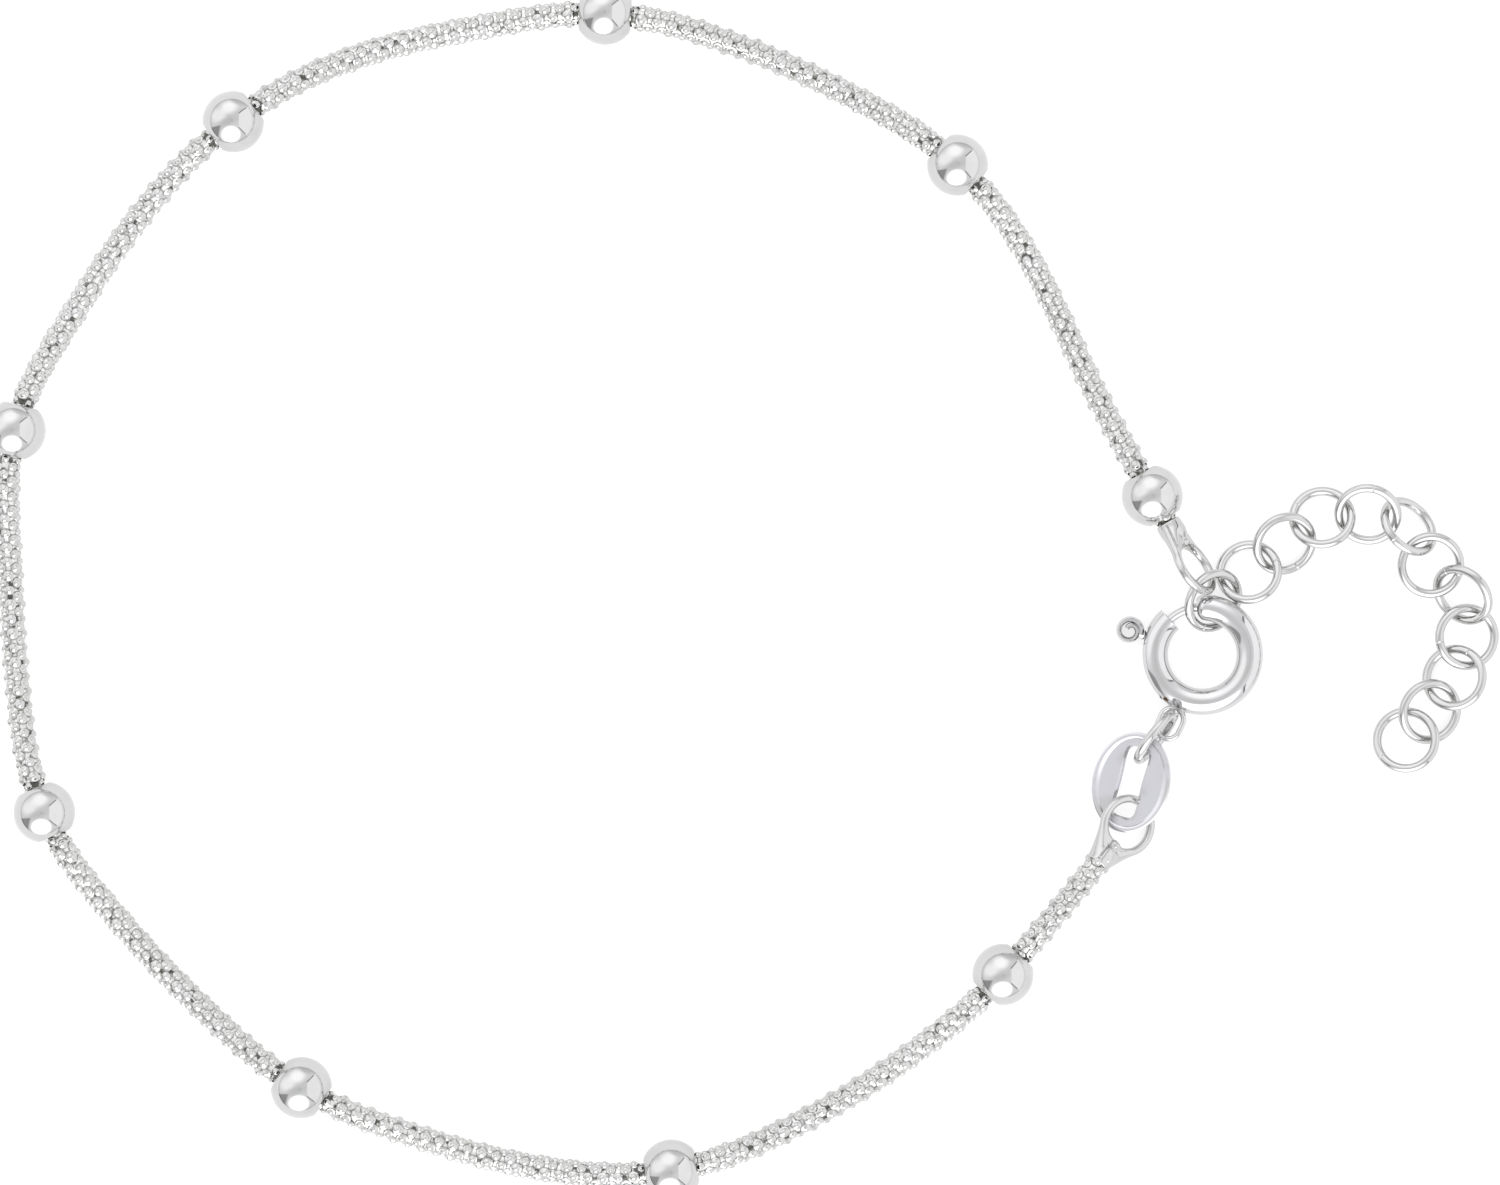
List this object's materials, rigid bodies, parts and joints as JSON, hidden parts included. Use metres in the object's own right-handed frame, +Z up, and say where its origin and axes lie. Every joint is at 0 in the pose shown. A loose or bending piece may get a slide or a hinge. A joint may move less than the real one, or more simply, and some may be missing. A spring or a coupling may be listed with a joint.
{
  "type": "bracelet",
  "caption": "Open-loop bracelet of knobbly chain with round bead stations, spring ring clasp, oval tag link and a ring extender.",
  "frame": {"origin": "middle of the bracelet's footprint, on the surface it lies on", "axes": "+X to the picture's right, towards the clasp and extender; +Y to the picture's top; +Z up"},
  "size_m": [0.0742, 0.0596, 0.0032],
  "materials": {
    "bead_1": "polished silver",
    "bead_2": "polished silver",
    "bead_3": "polished silver",
    "bead_4": "polished silver",
    "bead_5": "polished silver",
    "bead_6": "polished silver",
    "bead_7": "polished silver",
    "bead_8": "polished silver",
    "bead_9": "polished silver",
    "chain_1": "knobbly polished silver",
    "chain_2": "knobbly polished silver",
    "chain_3": "knobbly polished silver",
    "chain_4": "knobbly polished silver",
    "chain_5": "knobbly polished silver",
    "chain_6": "knobbly polished silver",
    "chain_7": "knobbly polished silver",
    "chain_8": "knobbly polished silver",
    "chain_9": "knobbly polished silver",
    "clasp_ring": "polished silver",
    "clasp_bolt": "polished silver",
    "end_cap_tag_side": "polished silver",
    "end_cap_extender_side": "polished silver",
    "tag_link": "polished silver",
    "jump_ring": "polished silver",
    "extender_ring_1": "polished silver",
    "extender_ring_2": "polished silver",
    "extender_ring_3": "polished silver",
    "extender_ring_4": "polished silver",
    "extender_ring_5": "polished silver",
    "extender_ring_6": "polished silver",
    "extender_ring_7": "polished silver",
    "extender_ring_8": "polished silver",
    "extender_ring_9": "polished silver",
    "extender_ring_10": "polished silver",
    "extender_ring_11": "polished silver",
    "extender_ring_12": "polished silver"
  },
  "bodies": {
    "bracelet": {"bead_1": "bead_1", "bead_2": "bead_2", "bead_3": "bead_3", "bead_4": "bead_4", "bead_5": "bead_5", "bead_6": "bead_6", "bead_7": "bead_7", "bead_8": "bead_8", "bead_9": "bead_9", "chain_1": "chain_1", "chain_2": "chain_2", "chain_3": "chain_3", "chain_4": "chain_4", "chain_5": "chain_5", "chain_6": "chain_6", "chain_7": "chain_7", "chain_8": "chain_8", "chain_9": "chain_9", "clasp_ring": "clasp_ring", "end_cap_tag_side": "end_cap_tag_side", "end_cap_extender_side": "end_cap_extender_side", "tag_link": "tag_link", "jump_ring": "jump_ring", "extender_ring_1": "extender_ring_1", "extender_ring_2": "extender_ring_2", "extender_ring_3": "extender_ring_3", "extender_ring_4": "extender_ring_4", "extender_ring_5": "extender_ring_5", "extender_ring_6": "extender_ring_6", "extender_ring_7": "extender_ring_7", "extender_ring_8": "extender_ring_8", "extender_ring_9": "extender_ring_9", "extender_ring_10": "extender_ring_10", "extender_ring_11": "extender_ring_11", "extender_ring_12": "extender_ring_12"},
    "bolt": {"clasp_bolt": "clasp_bolt"}
  },
  "joints": [
    {"name": "bolt_slide", "type": "hinge", "parent": "bracelet", "child": "bolt", "pos_m": [0.02252, -0.00305, 0.00101], "axis": [-0.1475, 0, 0.9891], "range_deg": [0, 50], "stiffness_Nm_per_rad": 0.00002, "springref_deg": -28.65}
  ]
}
